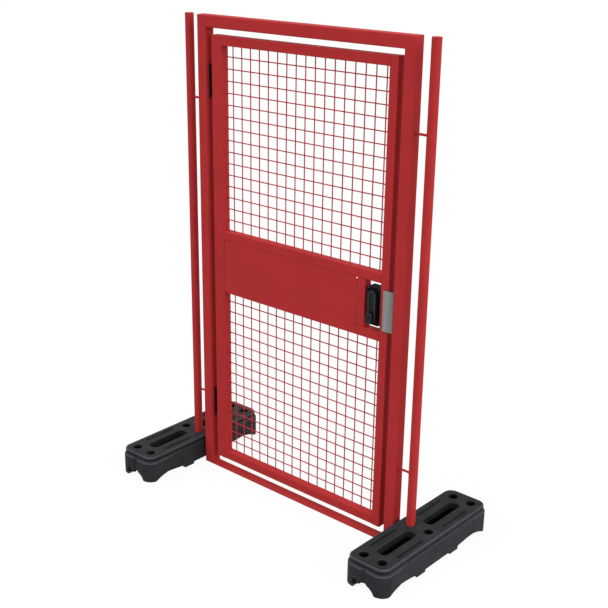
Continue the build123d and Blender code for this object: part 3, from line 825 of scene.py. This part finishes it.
def place_camera():
    """Camera at the photograph's place, with its picture shifted to put its axis on its pixel."""
    data = bpy.data.cameras.new("camera")
    data.sensor_width = SENSOR_MM
    data.lens = SENSOR_MM * FOCAL_PIXELS / PHOTO_SIDE
    data.shift_x = (PHOTO_SIDE / 2 - AXIS_PIXEL[0]) / PHOTO_SIDE
    data.shift_y = (AXIS_PIXEL[1] - PHOTO_SIDE / 2) / PHOTO_SIDE
    camera = bpy.data.objects.new("camera", data)
    camera.location = CAMERA_PLACE
    aim = Euler((math.radians(90 - CAMERA_PITCH), 0, math.radians(CAMERA_YAW))).to_matrix()
    roll = Matrix.Rotation(math.radians(CAMERA_ROLL), 3, "Z")
    camera.rotation_euler = (aim @ roll).to_euler()
    bpy.context.scene.collection.objects.link(camera)
    bpy.context.scene.camera = camera


# Studio: a white world, a pale floor and two soft windows
WHITE = "#FFFFFF"
FILL_STRENGTH = 0.55
FLOOR_HALF_SIDE = 40.0
FLOOR_LIT = "#A8A8A8"
FLOOR_SEEN = "#F4F4F4"
# How much of the floor that is seen is plain white; the rest takes the shadow
FLOOR_WHITE_SHARE = 0.93
WINDOW_SPREAD = 60


def soft_sun(name, toward, strength):
    """Wide, far lamp, as a large studio window gives, in a direction from the object."""
    data = bpy.data.lights.new(name, "SUN")
    data.angle = math.radians(WINDOW_SPREAD)
    data.energy = strength
    lamp = bpy.data.objects.new(name, data)
    lamp.rotation_euler = Vector(toward).to_track_quat("Z", "Y").to_euler()
    lamp.location = Vector(toward)
    bpy.context.scene.collection.objects.link(lamp)


def seen_directly(tree):
    """1 for what the camera, a mirror or a clear body sees, and 0 for what only lights."""
    ray = add(tree, "ShaderNodeLightPath").outputs
    first = add(tree, "ShaderNodeMath", {
        0: ray["Is Camera Ray"], 1: ray["Is Glossy Ray"],
    }, operation="MAXIMUM")
    both = add(tree, "ShaderNodeMath", {
        0: first.outputs[0], 1: ray["Is Transmission Ray"],
    }, operation="MAXIMUM")
    return both.outputs[0]


def light_world():
    """World that is white to see, and lights the object at the fill strength."""
    world = bpy.data.worlds.new("studio")
    bpy.context.scene.world = world
    world.use_nodes = True
    tree = world.node_tree
    tree.nodes.clear()
    strength = add(tree, "ShaderNodeMapRange", {
        "Value": seen_directly(tree), "To Min": FILL_STRENGTH, "To Max": 1.0,
    })
    sky = add(tree, "ShaderNodeBackground", {
        "Color": linear(WHITE), "Strength": strength.outputs["Result"],
    })
    add(tree, "ShaderNodeOutputWorld", {"Surface": sky.outputs["Background"]})


def lay_floor():
    """Floor at the ground: grey for the light it throws back, pale with a faint shadow to see."""
    build = bmesh.new()
    bmesh.ops.create_grid(build, x_segments=1, y_segments=1, size=FLOOR_HALF_SIDE)
    mesh = bpy.data.meshes.new("floor")
    build.to_mesh(mesh)
    build.free()
    material = bpy.data.materials.new("pale_floor")
    material.use_nodes = True
    tree = material.node_tree
    tree.nodes.clear()
    seen = seen_directly(tree)
    shade = add(tree, "ShaderNodeMix", {
        MIX_SHARE: seen, MIX_FROM: linear(FLOOR_LIT), MIX_TO: linear(FLOOR_SEEN),
    }, data_type="RGBA")
    lit = add(tree, "ShaderNodeBsdfDiffuse", {"Color": shade.outputs[MIX_RESULT]})
    plain_white = add(tree, "ShaderNodeEmission", {"Color": linear(WHITE)})
    share = add(tree, "ShaderNodeMath", {0: seen, 1: FLOOR_WHITE_SHARE}, operation="MULTIPLY")
    both = add(tree, "ShaderNodeMixShader", {
        0: share.outputs[0], 1: lit.outputs["BSDF"], 2: plain_white.outputs["Emission"],
    })
    add(tree, "ShaderNodeOutputMaterial", {"Surface": both.outputs["Shader"]})
    mesh.materials.append(material)
    floor = bpy.data.objects.new("floor", mesh)
    bpy.context.scene.collection.objects.link(floor)


place_camera()
light_world()
lay_floor()
soft_sun("front_window", toward=(-0.32, -0.56, 0.77), strength=1.67)
soft_sun("side_window", toward=(0.92, 0.08, 0.38), strength=2.27)

bpy.context.scene.view_settings.view_transform = "Standard"
